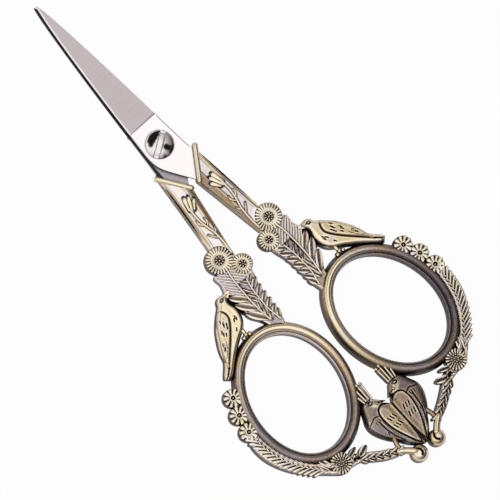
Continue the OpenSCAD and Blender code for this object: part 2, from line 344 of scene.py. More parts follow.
def add(tree, kind, inputs=None, stops=(), out=0, **settings):
    """Adds a node with its settings and colour stops. Each input gets a value, a link or a list of
    links. What comes back is one output of the node."""
    node = tree.nodes.new(kind)
    for key, value in settings.items():
        setattr(node, key, value)
    for key, value in (inputs or {}).items():
        for item in value if isinstance(value, list) else [value]:
            if isinstance(item, bpy.types.NodeSocket):
                tree.links.new(item, node.inputs[key])
            else:
                node.inputs[key].default_value = item
    for k, (position, code) in enumerate(stops):
        ends = node.color_ramp.elements
        end = ends[k] if k < len(ends) else ends.new(position)
        end.position = position
        end.color = linear(code)
    return node.outputs[out] if node.outputs else None


def new_material(name):
    """A material with an empty tree, and that tree."""
    material = bpy.data.materials.new(name)
    material.use_nodes = True
    material.node_tree.nodes.clear()
    return material, material.node_tree


def antique_bronze():
    """Zinc casting plated in antique bronze: darkened all over, then rubbed back, so that crests
    are pale gold and recesses nearly black, with patina. Faces that look up are painted lighter, and
    slopes and walls darker, as light falls on them, so slopes come out brown. Some parts stay more silvery."""
    material, tree = new_material("antique_bronze_plating")
    patches, grains = 0.26, 2.4     # of tarnish and of the casting's skin, for each mm
    spot = add(tree, "ShaderNodeTexCoord", out="Object")
    cloud = add(tree, "ShaderNodeTexNoise", {"Vector": spot, "Scale": patches / MM, "Detail": 3.0})
    fine = add(tree, "ShaderNodeTexNoise", {"Vector": spot, "Scale": grains / MM, "Detail": 4.0})
    # Rubbed off where the shape says so, with the painted light and shade that it carries. Faces that look up
    # are painted lighter and walls darker, and narrow gaps go dark: patina in the hollows, and painted shade
    # where parts meet each other and the table
    rub = add(tree, "ShaderNodeAttribute", out="Fac", attribute_name="rub")
    normal = add(tree, "ShaderNodeNewGeometry", out="Normal")
    up = add(tree, "ShaderNodeSeparateXYZ", {0: normal}, out="Z")
    up = add(tree, "ShaderNodeMath", {0: up}, operation="ABSOLUTE")
    painted_top_light = add(tree, "ShaderNodeMapRange", {0: up, 1: 0.0, 2: 0.85, 3: 0.28, 4: 1.18})
    open_sky = add(tree, "ShaderNodeAmbientOcclusion", {"Distance": 0.35 * MM}, out="AO", samples=8)
    open_sky = add(tree, "ShaderNodeMapRange", {0: open_sky, 1: 0.12, 2: 0.75})
    drift = add(tree, "ShaderNodeMapRange", {0: fine, 1: 0.3, 2: 0.7, 3: -0.06, 4: 0.06})
    wear_and_light = add(tree, "ShaderNodeMath", {0: rub, 1: painted_top_light}, operation="MULTIPLY")
    wear_and_light = add(tree, "ShaderNodeMath", {0: wear_and_light, 1: open_sky, 2: drift}, operation="MULTIPLY_ADD")
    gold = add(tree, "ShaderNodeValToRGB", {0: wear_and_light}, (
        (0.0, "#1a120c"), (0.2, "#54402f"), (0.42, "#9a8062"), (0.65, "#d2bb93"), (1.0, "#fff0ca")))
    silver = add(tree, "ShaderNodeValToRGB", {0: wear_and_light}, (
        (0.0, "#171416"), (0.2, "#4d4549"), (0.42, "#94898c"), (0.65, "#c8bcbf"), (1.0, "#f8eeec")))
    warmth = add(tree, "ShaderNodeAttribute", out="Fac", attribute_name="warmth")
    shift = add(tree, "ShaderNodeMapRange", {0: cloud, 1: 0.35, 2: 0.65, 3: -0.3, 4: 0.3})
    tone = add(tree, "ShaderNodeMath", {0: warmth, 1: shift}, operation="ADD", use_clamp=True)
    colour = add(tree, "ShaderNodeMix", {0: tone, 6: silver, 7: gold}, out=2, data_type="RGBA")
    rough = add(tree, "ShaderNodeMapRange", {0: wear_and_light, 3: 0.55, 4: 0.27})
    bump = add(tree, "ShaderNodeBump", {"Strength": 0.15, "Distance": 0.03 * MM, "Height": fine})
    shader = add(tree, "ShaderNodeBsdfPrincipled", {
        "Base Color": colour, "Metallic": 1.0, "Roughness": rough, "Normal": bump})
    add(tree, "ShaderNodeOutputMaterial", {"Surface": shader})
    return material


def steel(name, pale, dark, smooth, rough, depth):
    """Stainless steel with fine lines across it from the grinding belt or the buff. It is painted
    dark as shade where two parts lie close together. Real lines are finer, and these are as coarse as shows."""
    material, tree = new_material(name)
    across, along = 5.2, 0.09       # lines for each mm
    spot = add(tree, "ShaderNodeTexCoord", out="Object")
    scale = (along / MM, across / MM, along / MM)
    spot = add(tree, "ShaderNodeMapping", {"Vector": spot, "Scale": scale})
    lines = add(tree, "ShaderNodeTexNoise", {"Vector": spot, "Scale": 1.0, "Detail": 3.0})
    metal = add(tree, "ShaderNodeValToRGB", {0: lines}, ((0.3, dark), (0.7, pale)))
    # Painted shade: the colour goes to a near-black grey where another part is close
    open_sky = add(tree, "ShaderNodeAmbientOcclusion", {"Distance": 0.5 * MM}, out="AO", samples=8)
    shade = add(tree, "ShaderNodeMapRange", {0: open_sky, 1: 0.35, 2: 0.85})
    colour = add(tree, "ShaderNodeMix", {0: shade, 6: linear("#2e2b2c"), 7: metal}, out=2, data_type="RGBA")
    gloss = add(tree, "ShaderNodeMapRange", {0: lines, 3: smooth, 4: rough})
    bump = add(tree, "ShaderNodeBump", {"Strength": depth, "Distance": 0.01 * MM, "Height": lines})
    shader = add(tree, "ShaderNodeBsdfPrincipled", {
        "Base Color": colour, "Metallic": 1.0, "Roughness": gloss, "Normal": bump})
    add(tree, "ShaderNodeOutputMaterial", {"Surface": shader})
    return material


BRONZE = antique_bronze()
# Ground on a fine belt: an even pinkish grey without clear reflections
SATIN = steel("ground_blade_steel", "#f1e6e8", "#e6dcde", 0.4, 0.46, 0.15)
# Inner face from the wheel: darker and mottled
HOLLOW = steel("hollow_ground_steel", "#d2c8ce", "#b3a9b0", 0.36, 0.44, 0.2)
# Polished on a soft wheel: nearly white, with blurred reflections
BUFFED = steel("buffed_blade_steel", "#f8f1f1", "#f3ecec", 0.12, 0.22, 0.03)
# Side walls, and the strip along the edge that the other blade shades: steel painted dull and dark as shade
SHADED_EDGE_STEEL = steel("sheared_steel_edge", "#48494c", "#36373a", 0.4, 0.5, 0.1)
# The screw's head, which mirrors the studio
MIRROR = steel("polished_screw_steel", "#f0e8e8", "#e6dede", 0.05, 0.1, 0.03)


# Bows

def bow():
    """The bow's bar: crowned, with a fine groove and a lower lip round the finger hole. It is
    painted lighter at its upper end and on the side the light falls on, and darker at its foot, as shade."""
    steps = 180
    # Angle round the bow, and its painted light there: lighter where light falls on the bar, darker where it
    # is in shade
    painted_light_by_angle = ((0, 0.52), (30, 0.62), (60, 0.84), (90, 1.05), (120, 1.0), (150, 0.86), (180, 0.7), (210, 0.5),
              (240, 0.58), (270, 0.54), (300, 0.52), (330, 0.46), (360, 0.52))
    # Across the bar from the finger hole outwards: share of its width, height, rub
    # The lip's bright band is a painted highlight, where the light catches it
    profile = [(0.0, CLEAR, 0.3), (0.0, 1.2, 0.4), (0.02, 2.2, 0.5), (0.05, 2.9, 1.0), (0.1, 3.06, 1.0),
               (0.15, 3.1, 0.75), (0.19, 3.05, 0.5), (0.22, 3.14, 0.5), (0.27, 3.5, 0.62),
               (0.32, 3.8, 0.74), (0.38, 3.94, 0.82), (0.46, 4.0, 0.84), (0.56, 4.0, 0.84),
               (0.65, 3.93, 0.82), (0.73, 3.76, 0.76), (0.8, 3.48, 0.66), (0.86, 3.1, 0.54),
               (0.92, 2.55, 0.42), (0.97, 1.8, 0.34), (1.0, 1.0, 0.3), (1.0, CLEAR, 0.3)]
    vertices = []
    for degrees in np.arange(steps) * 360 / steps:
        painted_light = np.interp(degrees, *zip(*painted_light_by_angle))
        vertices += [(*by_bow(degrees, BAR_W * (share - 1)), z, rub * painted_light) for share, z, rub in profile]
    return np.array(vertices), quads(steps, len(profile), True, True)


def bow_tone(p):
    """The bar is gold towards the blades and more silvery at its foot and along its lip."""
    x, y = (p - BOW)[:, 0], (p - BOW)[:, 1]
    gold = 0.5 + 0.35 * np.cos(np.arctan2(y, x) - math.radians(150))
    a, b = turned(x, y, -LEAN)
    past_lip = np.clip((np.hypot(a / HOLE_A, b / HOLE_B) - 1.045) / 0.02, 0, 1)
    return 0.15 + (gold - 0.15) * past_lip


# The flat field of the shank, and what grows on it. A bud's row is its foot, its tip and its width.
PANEL = np.concatenate([
    [[2.3, -8.0], [2.75, -12.5], [3.6, -20.0], [4.3, -29.0]],
    bend([[4.6, -4.0], [5.2, -13.0], [5.9, -20.0], [7.0, -29.0]])[::-1],
])
STEM = np.array([[4.65, -14.6], [4.75, -17.8], [4.4, -20], [3.95, -22], [3.85, -24.5], [4.05, -27.6]])
BUD = np.array([(4.9, -15.0, 4.05, -12.0, 0.95), (4.5, -15.6, 3.15, -12.4, 0.95),
                (3.85, -15.5, 2.5, -13.5, 0.9)])
CURLS = [[[4.45, -19.6], [5.0, -19.0], [5.35, -18.2], [5.15, -17.6]],
         [[3.95, -23.4], [4.6, -22.7], [5.35, -21.5]],
         [[4.4, -20.1], [3.8, -19.6], [3.45, -18.8], [3.55, -18.2]],
         [[3.95, -22.2], [3.5, -21.8], [3.2, -21.1]]]


def shank():
    """From the blade to the flowers: a flat panel between rounded shoulders."""
    inner_end, outer_end = [3.7, -28.5], [8.2, -28.5]
    outline = bend([MOUTH_OUT, MOUTH_OUT, MOUTH_IN, MOUTH_IN, inner_end, inner_end, outer_end, outer_end,
                    [7.3, -23.5]], 0.13, True)
    inner = np.array([MOUTH_IN, inner_end])
    outer = bend([MOUTH_OUT, [6.1, -14.0], [7.3, -23.5], outer_end])
    side_z, shoulder, sunk = 2.6, 1.5, 0.16     # the side's height and rounding, and the panel's depth

    def into_panel(points):
        return distance(points, PANEL, True) * np.where(inside(points, PANEL), 1, -1)

    def height(points, d):
        from_side = np.minimum(distance(points, inner), distance(points, outer))
        z = side_z + (CAST_TOP - side_z) * dome(from_side, shoulder)
        z = z - sunk * np.clip(into_panel(points) / 0.2, 0, 1)
        return under_flowers(points, z, 3.0, 2.3)

    def wear_and_light(points, d):
        # Darker beside the stem, the bud and the curls: patina in the hollows, and painted shade
        near = distance(points, bend(STEM)) - 0.27
        for x, y, tip_x, tip_y, width in BUD:
            near = np.minimum(near, distance(points, [[x, y], [tip_x, tip_y]]) - 0.42 * width)
        for curl in CURLS:
            near = np.minimum(near, distance(points, bend(curl)) - 0.2)
        share = 0.34 + 0.46 * np.clip((into_panel(points) + 0.3) / 0.6, 0, 1)
        share = share + 0.5 * np.clip(1 - d / 0.5, 0, 1)
        return share * np.clip(0.15 + near / 0.27, 0.15, 1)

    vertices, faces = relief(outline, height, pitch=0.13, wear_and_light=wear_and_light)
    # Its walls are set lighter, and come out less dark than others
    vertices[distance(vertices[:, :2], outline, True) < 0.01, 3] = 0.95
    return vertices, faces


def web():
    """Sunk ground of the leaf spray, between the flowers, the bird and the bow."""
    outline = bend([
        [3.0, -30.4], [3.1, -33.6], [3.9, -36.5], [4.3, -39.5], [4.6, -43.3], [5.2, -46.3], [5.9, -47.1],
        [8.4, -45.6], [8.7, -44.2], [9.2, -42.9], [10.0, -41.6], [10.5, -40.2], [10.9, -39.2], [12.0, -38.7],
        [12.4, -34.4], [11.1, -33.1], [10.5, -31.4], [10.0, -29.0]], 0.3, True)

    def flat(points):
        """The raised flat ground above the broad leaves: 1 on it, 0 off it."""
        x, y = points[:, 0], points[:, 1]
        outer = np.clip((y + 37.2 - 1.05 * (x - 8.0)) / 0.3, 0, 1) * np.clip((x - 7.6) / 0.2, 0, 1)
        return np.maximum(outer, np.clip((y + 33.9) / 0.3, 0, 1))

    def low(points):
        """How deep the ground lies beside the bird: 0 under the leaves, 1 beyond their tips."""
        edge = np.interp(points[:, 1], [-43.0, -39.3, -35.0, -33.4, -32.0], [10.1, 10.4, 10.45, 10.6, 11.4])
        return np.clip((points[:, 0] - edge) / 0.3, 0, 1) * (1 - flat(points))

    def height(points, d):
        ground, swell, raised, drop = 2.4, 0.7, 0.45, 1.5
        return ground + (swell + raised * flat(points)) * dome(d, 0.5) - drop * low(points)

    def detail(points, z, d):
        # Fine veins run across the flat ground and under its rib
        for k in range(11):
            vein = bend([[-3.2, -3.5], [0, 0], [1.4, 1.5], [2.8, 3.5]], 0.3) + [8.1, -27.6 - 0.9 * k]
            vein = vein[inside(vein, outline) & (flat(vein) > 0.5)]
            if len(vein) > 1:
                z = groove(points, z, vein, 0.21, 0.15)
        return under_flowers(points, z, 2.9, 2.2)

    # The low ground beside the bird is painted nearly black, as shade
    return relief(outline, height, detail, pitch=0.12,
                  wear_and_light=lambda points, d: 0.5 + 0.5 * flat(points) - 0.5 * low(points))


# Songbirds

def perched_bird():
    """Bird that lies along the top of the bow, with its head towards the blades."""
    body = by_bow(76.5) + bend([
        [-3.8, 9.95], [-3.8, 9.95], [-1.9, 10.25], [-0.9, 10.3], [-0.1, 9.8], [0.5, 8.8], [2.2, 7.4],
        [4.25, 5.25], [5.85, 2.8], [6.8, 0.8], [7.4, -1.0], [9.3, -3.0], [9.8, -3.8], [9.8, -3.8],
        [8.7, -4.8], [8.7, -4.8], [7.4, -4.2], [4.4, -1.7], [1.4, 0.4], [-0.6, 1.55], [-1.85, 2.85],
        [-2.5, 4.5], [-2.6, 6.3], [-2.2, 7.9], [-2.6, 8.9]], 0.2, True)
    wing = bend([[14.9, -35.2], [14.4, -35.7], [14.05, -36.7], [14.2, -37.9], [15.3, -39.5], [16.9, -41.3],
                 [18.3, -42.7], [19.9, -44.3], [21.4, -45.8], [21.4, -45.8], [20.9, -44.3], [20.1, -42.4],
                 [19.0, -40.3], [17.6, -38.0], [16.1, -36.0]], 0.2, True)
    breast = np.array([[10.7, -33.8], [11.8, -35.5], [11.9, -37.5], [12.0, -39.5], [12.9, -41.1],
                       [15.3, -42.4], [18.1, -44.5], [21.3, -47.0]])
    eye = np.array([12.72, -33.85])
    quills = ([[18.6, -41.2], [19.2, -42.2], [19.6, -42.6], [19.5, -41.8]],
              [[19.2, -40.3], [19.7, -41.3], [20.6, -43.2]], [[18.0, -41.2], [19.2, -42.9], [20.4, -44.0]])
    ticks = [(16.21, -37.14), (15.94, -37.78), (16.09, -38.25), (15.83, -39.01), (15.49, -38.41),
             (17.4, -39.06), (17.41, -39.64), (16.99, -40.02), (19.07, -41.24), (19.31, -42.13),
             (13.09, -38.38), (13.63, -38.85), (12.98, -38.85), (14.51, -40.64)]
    beak_line, tail_gap = [[11.0, -33.6], [12.1, -33.75]], [[21.2, -45.7], [22.3, -46.6], [23.0, -47.2]]
    cuts = [(bend(quill, 0.2), 0.13, 0.12) for quill in quills]
    cuts += [([[x - 0.2, y + 0.25], [x + 0.15, y - 0.25]], 0.17, 0.3) for x, y in ticks]
    cuts += [(beak_line, 0.12, 0.18), (tail_gap, 0.22, 0.4)]

    def from_eye(points):
        return np.hypot((points - eye) @ [0.93, -0.36], (points - eye) @ [0.36, 0.93] * 1.5)

    def height(points, d):
        # The beak is narrow, but stands above the ground beside it
        beak = (points[:, 0] < 11.4) & (points[:, 1] > -34.6)
        return FOOT + BIRD_RISE * dome(np.where(beak, np.maximum(d, 0.7), d), 0.9)

    def detail(points, z, d):
        z = z + np.where(inside(points, wing), 0.2 * dome(distance(points, wing, True), 0.6), 0)
        z = groove(points, z, wing, 0.34, 0.28, True)
        z = ringed(z, from_eye(points), ((0.42, 0.13, 0.28), (0, 0.2, -0.08)))
        return np.minimum(carve(points, z, cuts), BIRD_TOP)

    def wear_and_light(points, d):
        # The breast gets a painted highlight, and a thin line round the bird is painted dark as shade
        painted_light = 0.42 * np.clip(1.4 - distance(points, breast) / 0.6, 0, 1)
        face = (points[:, 0] < 12.0) & (points[:, 1] > -34.6)
        dark = np.where(face, 0, np.clip(1 - d / 0.16, 0, 1))
        lid = np.exp(-((from_eye(points) - 0.42) / 0.16) ** 2)
        return np.where(inside(points, wing), 0.62, 0.7) + painted_light - 0.6 * dark - 0.9 * lid

    return relief(body, height, detail, soften=14, wear_and_light=wear_and_light)


LOW_WING = bend([
    [0.2, -75.4], [0.5, -74.3], [1.5, -73.6], [2.7, -73.6], [3.55, -74.3], [3.85, -75.6], [3.8, -77.3],
    [3.35, -79.5], [2.4, -82.0], [1.4, -84.2], [0.5, -85.4], [0.5, -85.4], [0.18, -80.0]], 0.2, True)


def low_bird():
    """Bird between the bows, back to back with its twin and with its tail down."""
    body = TAIL + bend([
        [-0.15, -0.1], [-0.15, -0.1], [1.2, 0.7], [2.65, 2.15], [4.05, 4.15], [5.25, 5.5], [6.5, 7.6],
        [7.15, 9.6], [7.0, 11.2], [6.35, 12.65], [5.6, 14.4], [4.85, 15.35], [4.0, 15.45], [2.9, 15.1],
        [2.0, 14.6], [1.3, 13.8], [0.15, 12.5], [0.15, 12.5], [0.9, 12.6], [0.9, 12.6], [0.3, 11.9],
        [-0.2, 11.1], [-0.2, 11.1], [-0.23, 6.0]], 0.2, True)
    band = bend([[4.4, -76.0], [4.35, -77.6], [3.95, -79.8], [3.0, -82.2], [1.9, -84.2]], 0.2)
    fold = bend([[4.2, -74.9], [5.1, -74.6], [6.0, -75.0], [6.9, -75.3]], 0.2)
    beak = bend([[2.2, -72.7], [1.3, -72.8], [0.3, -73.5]], 0.2)
    cheek = bend([[2.6, -71.2], [2.3, -71.9], [2.7, -72.6], [2.4, -73.0]], 0.2)
    on_wing = [(x, y) for y, row in ((-77.0, (1.45, 2.15, 2.85)), (-79.0, (1.35, 2.05, 2.75))) for x in row]
    on_breast = [(5.5, -75.9), (5.0, -75.8), (4.5, -75.7), (4.9, -79.2), (4.45, -79.4), (4.0, -79.7)]
    cuts = [(band, 0.24, -0.16), (band + [0.45, 0.0], 0.2, 0.14), (fold, 0.2, 0.16), (beak, 0.16, 0.4),
            (cheek, 0.16, 0.2)]
    cuts += [([[x + 0.14, y + 0.48], [x - 0.22, y - 0.46]], 0.2, 0.32) for x, y in on_wing]
    cuts += [([[x, y + 0.3], [x, y - 0.3]], 0.13, 0.2) for x, y in on_breast]

    def height(points, d):
        # The backs stand upright against each other, and only the breasts are rounded
        side = np.clip((points[:, 0] - TAIL[0]) / 0.8, 0, 1)
        return FOOT + BIRD_RISE * dome(np.maximum(d, 1.2 * (1 - side)), 1.9)

    def detail(points, z, d):
        edge = distance(points, LOW_WING, True)
        z = z + np.where(inside(points, LOW_WING), 0.25 * dome(edge, 0.6) + 0.05, 0)
        z = np.where(points[:, 0] > 0.55, groove(points, z, LOW_WING, 0.24, 0.34, True), z)
        from_eye = np.hypot(points[:, 0] - 3.55, (points[:, 1] + 71.7) * 1.5)
        z = ringed(z, from_eye, ((0.5, 0.14, 0.3), (0, 0.25, -0.12)))
        return np.minimum(carve(points, z, cuts), BIRD_TOP)

    def wear_and_light(points, d):
        x, y = points[:, 0], points[:, 1]
        # A painted highlight follows the breast, just inside an edge that is painted dark as shade
        breast = np.where((y < -74.5) & (x > 1.2), np.clip(1 - np.abs(d - 0.62) / 0.3, 0, 1), 0)
        face = np.clip(1.6 - np.hypot(x - 2.2, (y + 72.1) * 1.4) / 1.3, 0, 1)
        share = np.where(inside(points, LOW_WING), 0.5, 0.37 + 0.5 * breast + 0.7 * face)
        return share * np.clip(0.3 + d / 0.4, 0, 1)

    return relief(body, height, detail, soften=30, wear_and_light=wear_and_light)


# Leaves and petals, repeated by geometry nodes

def strip_shape(rows, across, lift):
    """Closed strip of unit length: rows of (x, half width), crossed by (share, height, rub). The
    height of a vertex is lift(x) + height, and a wall joins its two edges to its underside."""
    vertices = []
    for x, half in rows:
        vertices.append((x, -0.5 * half, 0.1, 0.2))
        vertices += [(x, 0.5 * half * w, lift(x) + h, rub) for w, h, rub in across]
        vertices.append((x, 0.5 * half, 0.1, 0.2))
    m = len(across) + 2
    last = (len(rows) - 1) * m
    faces = [(a, d, c, b) for a, b, c, d in quads(len(rows), m, round_columns=True)]
    return vertices, faces + [tuple(range(m)), tuple(reversed(range(last, last + m)))]


def leaf_shape():
    """Pointed leaf with raised rims and a groove down its middle."""
    rows = [(0.0, 0.3), (0.1, 0.6), (0.25, 0.88), (0.45, 1.0), (0.65, 0.98), (0.8, 0.82), (0.91, 0.55),
            (0.97, 0.3), (1.0, 0.08)]
    half = [(-1.0, -0.4, 0.2), (-0.95, -0.02, 1.8), (-0.54, 0.02, 1.7), (-0.34, -0.12, 0.45)]
    across = half + [(0.0, -0.2, 0.2)] + [(-w, z, rub) for w, z, rub in reversed(half)]
    return strip_shape(rows, across, lambda x: 3.5 + 0.2 * math.sin(math.pi * (0.15 + 0.75 * x)))


def petal_shape():
    """Petal with a flat crown and a round tip. It stands on the flower's disc."""
    rows = [(0.0, 0.5), (0.3, 0.7), (0.6, 0.88), (0.8, 1.0), (0.91, 0.94), (0.97, 0.7), (1.0, 0.35)]
    half = [(-1.0, -0.32, 0.3), (-0.85, -0.04, 1.3), (-0.4, 0.02, 1.1)]
    across = half + [(-w, z, rub) for w, z, rub in reversed(half)]
    return strip_shape(rows, across, lambda x: 3.66 + 0.16 * math.sin(math.pi * min(0.15 + 0.62 * x, 1)))


def template(name, shape):
    """A hidden object that the node trees repeat. Only its height is in millimetres."""
    vertices, faces = shape
    mesh = bpy.data.meshes.new(name)
    mesh.from_pydata([(v[0], v[1], v[2] * MM) for v in vertices], [], faces)
    rub = mesh.attributes.new("rub", "FLOAT", "POINT")
    rub.data.foreach_set("value", [v[3] for v in vertices])
    return bpy.data.objects.new(name, mesh)


def new_tree(name, **sockets):
    """An empty tree with its inputs, which are given as names for each kind of socket."""
    tree = bpy.data.node_groups.new(name, "GeometryNodeTree")
    for kind, labels in sockets.items():
        for label in labels.split(", "):
            tree.interface.new_socket(name=label, in_out="INPUT", socket_type="NodeSocket" + kind)
    tree.interface.new_socket(name="Geometry", in_out="OUTPUT", socket_type="NodeSocketGeometry")
    return tree, tree.nodes.new("NodeGroupInput").outputs


def finish_tree(tree, instances, material):
    """Ends a tree in plain geometry with its material."""
    real = add(tree, "GeometryNodeRealizeInstances", {0: instances})
    dressed = add(tree, "GeometryNodeSetMaterial", {"Geometry": real, "Material": material})
    add(tree, "NodeGroupOutput", {0: dressed})
    return tree


def garland_tree():
    """Pairs of leaves swept out from a rib."""
    tree, value = new_tree(
        "Leaves along a rib", Geometry="Geometry", Object="Left leaf, Right leaf", Int="Leaf pairs",
        Float="Left length, Right length, Left width, Right width, Left sweep, Right sweep, Tip share",
        Material="Material")
    points = add(tree, "GeometryNodeResampleCurve", {
        "Curve": value["Geometry"], "Count": value["Leaf pairs"]})
    tangent = add(tree, "GeometryNodeInputTangent")
    along = add(tree, "FunctionNodeAlignRotationToVector", {"Vector": tangent}, axis="X", pivot_axis="Z")
    share = add(tree, "GeometryNodeSplineParameter", out="Factor")
    taper = add(tree, "ShaderNodeMapRange", {0: share, 3: 1.0, 4: value["Tip share"]})
    both = []
    for side in ("Left", "Right"):
        leaf = add(tree, "GeometryNodeObjectInfo", {"Object": value[side + " leaf"]}, out="Geometry")
        length = add(tree, "ShaderNodeMath", {0: taper, 1: value[side + " length"]}, operation="MULTIPLY")
        scale = add(tree, "ShaderNodeCombineXYZ", {"X": length, "Y": value[side + " width"], "Z": 1.0})
        sweep = add(tree, "ShaderNodeCombineXYZ", {"Z": value[side + " sweep"]})
        sweep = add(tree, "FunctionNodeEulerToRotation", {0: sweep})
        turn = add(tree, "FunctionNodeRotateRotation", {0: along, 1: sweep}, rotation_space="LOCAL")
        both.append(add(tree, "GeometryNodeInstanceOnPoints", {
            "Points": points, "Instance": leaf, "Rotation": turn, "Scale": scale}))
    return finish_tree(tree, add(tree, "GeometryNodeJoinGeometry", {0: both}), value["Material"])


def sprig_tree():
    """One leaf on each stalk. A stalk is a point that knows its leaf's way and width."""
    tree, value = new_tree("Leaves on stalks", Geometry="Geometry", Object="Leaf", Material="Material")
    leaf = add(tree, "GeometryNodeObjectInfo", {"Object": value["Leaf"]}, out="Geometry")
    way = add(tree, "GeometryNodeInputNamedAttribute", {"Name": "way"}, data_type="FLOAT_VECTOR")
    width = add(tree, "GeometryNodeInputNamedAttribute", {"Name": "width"}, data_type="FLOAT")
    turn = add(tree, "FunctionNodeAlignRotationToVector", {"Vector": way}, axis="X", pivot_axis="Z")
    length = add(tree, "ShaderNodeVectorMath", {0: way}, out="Value", operation="LENGTH")
    scale = add(tree, "ShaderNodeCombineXYZ", {"X": length, "Y": width, "Z": 1.0})
    leaves = add(tree, "GeometryNodeInstanceOnPoints", {
        "Points": value["Geometry"], "Instance": leaf, "Rotation": turn, "Scale": scale})
    return finish_tree(tree, leaves, value["Material"])


def petal_tree():
    """Petals round a flower's centre."""
    tree, value = new_tree(
        "Petals round a centre", Geometry="Geometry", Object="Petal", Int="Petals", Vector="Centre",
        Float="Inner radius, Length, Width", Material="Material")
    petal = add(tree, "GeometryNodeObjectInfo", {"Object": value["Petal"]}, out="Geometry")
    index = add(tree, "GeometryNodeInputIndex")
    step = add(tree, "ShaderNodeMath", {0: TAU, 1: value["Petals"]}, operation="DIVIDE")
    angle = add(tree, "ShaderNodeMath", {0: index, 1: step}, operation="MULTIPLY")
    out = add(tree, "ShaderNodeCombineXYZ", {"X": value["Inner radius"]})
    turn = add(tree, "ShaderNodeCombineXYZ", {"Z": angle})
    where = add(tree, "ShaderNodeVectorRotate", {"Vector": out, "Rotation": turn}, rotation_type="EULER_XYZ")
    where = add(tree, "ShaderNodeVectorMath", {0: where, 1: value["Centre"]})
    points = add(tree, "GeometryNodePoints", {"Count": value["Petals"], "Position": where})
    scale = add(tree, "ShaderNodeCombineXYZ", {"X": value["Length"], "Y": value["Width"], "Z": 1.0})
    petals = add(tree, "GeometryNodeInstanceOnPoints", {
        "Points": points, "Instance": petal, "Rotation": turn, "Scale": scale})
    return finish_tree(tree, petals, value["Material"])


LEAF, PETAL = template("leaf_pattern", leaf_shape()), template("petal_pattern", petal_shape())
GARLAND, SPRIG, PETALS = garland_tree(), sprig_tree(), petal_tree()


def grown(tree, source, **inputs):
    """The plain shape that a node tree makes of an object's data."""
    holder = bpy.data.objects.new("holder", source)
    bpy.context.scene.collection.objects.link(holder)
    modifier = holder.modifiers.new("nodes", "NODES")
    modifier.node_group = tree
    for item in tree.interface.items_tree:
        key = item.name.lower().replace(" ", "_")
        if item.in_out == "INPUT" and key in inputs:
            modifier[item.identifier] = inputs[key]
    mesh = bpy.data.meshes.new_from_object(holder.evaluated_get(bpy.context.evaluated_depsgraph_get()))
    spots, rub = np.zeros(len(mesh.vertices) * 3), np.zeros(len(mesh.vertices))
    mesh.vertices.foreach_get("co", spots)
    mesh.attributes["rub"].data.foreach_get("value", rub)
    faces = [tuple(p.vertices) for p in mesh.polygons]
    bpy.data.objects.remove(holder)
    bpy.data.meshes.remove(mesh)
    spots = (spots.reshape(-1, 3) - [PIVOT.x, PIVOT.y, 0]) / MM
    return np.column_stack([spots, rub]), faces


def leaf_row(rib, pairs, lengths, widths, sweeps, tip=1.0):
    """Pairs of leaves along a rib of (x, y) points, left and right, in millimetres and degrees."""
    curve = bpy.data.curves.new("rib", "CURVE")
    curve.dimensions = "3D"
    spline = curve.splines.new("POLY")
    path = place(np.column_stack([rib, np.zeros(len(rib))]))
    spline.points.add(len(path) - 1)
    for point, p in zip(spline.points, path):
        point.co = (*p, 1.0)
    return grown(GARLAND, curve, left_leaf=LEAF, right_leaf=PETAL, leaf_pairs=pairs, tip_share=tip,
                 left_length=lengths[0] * MM, right_length=lengths[1] * MM,
                 left_width=widths[0] * MM, right_width=widths[1] * MM,
                 left_sweep=math.radians(sweeps[0]), right_sweep=-math.radians(sweeps[1]), material=BRONZE)


def sprig(stalks, lift=0.0, pattern=LEAF):
    """Leaves, each given by its foot, its tip and its width in millimetres."""
    x, y, tip_x, tip_y, width = np.array(stalks, float).T
    mesh = bpy.data.meshes.new("stalks")
    mesh.from_pydata([tuple(v) for v in place(np.column_stack([x, y, 0 * x + lift]))], [], [])
    way = mesh.attributes.new("way", "FLOAT_VECTOR", "POINT")
    way.data.foreach_set("vector", MM * np.column_stack([tip_x - x, tip_y - y, 0 * x]).ravel())
    mesh.attributes.new("width", "FLOAT", "POINT").data.foreach_set("value", MM * width)
    return grown(SPRIG, mesh, leaf=pattern, material=BRONZE)


def petals_round(centre, count, inner, outer, width):
    """Ring of petals between two radii in millimetres."""
    return grown(PETALS, bpy.data.meshes.new("none"), petal=PETAL, petals=count,
                 centre=place([*centre, 0.0]), inner_radius=inner * MM, length=(outer - inner) * MM,
                 width=width * MM, material=BRONZE)


def disc(centre, radius, profile, sides=48):
    """Turned form. Its profile is (share of the radius, height, rub), from the middle out."""
    m = len(profile)
    vertices = [(centre[0] + radius * s * math.cos(a), centre[1] + radius * s * math.sin(a), z, rub)
                for a in TAU * np.arange(sides) / sides for s, z, rub in profile]
    ends = [tuple(i * m for i in range(sides)), tuple(i * m + m - 1 for i in reversed(range(sides)))]
    return np.array(vertices), quads(sides, m, round_rows=True) + ends


def many_petalled(centre, radius, count, star):
    """Flower with a smooth middle, a fringe of short slits and a small star at its centre."""
    profile = [(0.05, 3.3, 0.1), (0.33, 3.3, 0.05), (0.37, 3.7, 0.7), (0.5, 3.79, 1.0), (0.62, 3.79, 1.05),
               (0.7, 3.35, 0.05), (0.9, 3.05, 0.05), (1.0, 2.7, 0.4), (1.0, CLEAR, 0.3)]
    width = 0.88 * TAU * 0.87 * radius / count
    hub = [(0.15, 3.75, 1.0), (0.6, 3.7, 0.9), (1.0, 3.4, 0.3), (1.0, 3.0, 0.1)]
    return join(
        disc(centre, radius, profile), petals_round(centre, count, 0.36 * radius, 0.985 * radius, width),
        petals_round(centre, star, 0.13 * radius, 0.34 * radius, 0.55 * TAU * 0.27 * radius / star),
        disc(centre, 0.1 * radius, hub, 16))


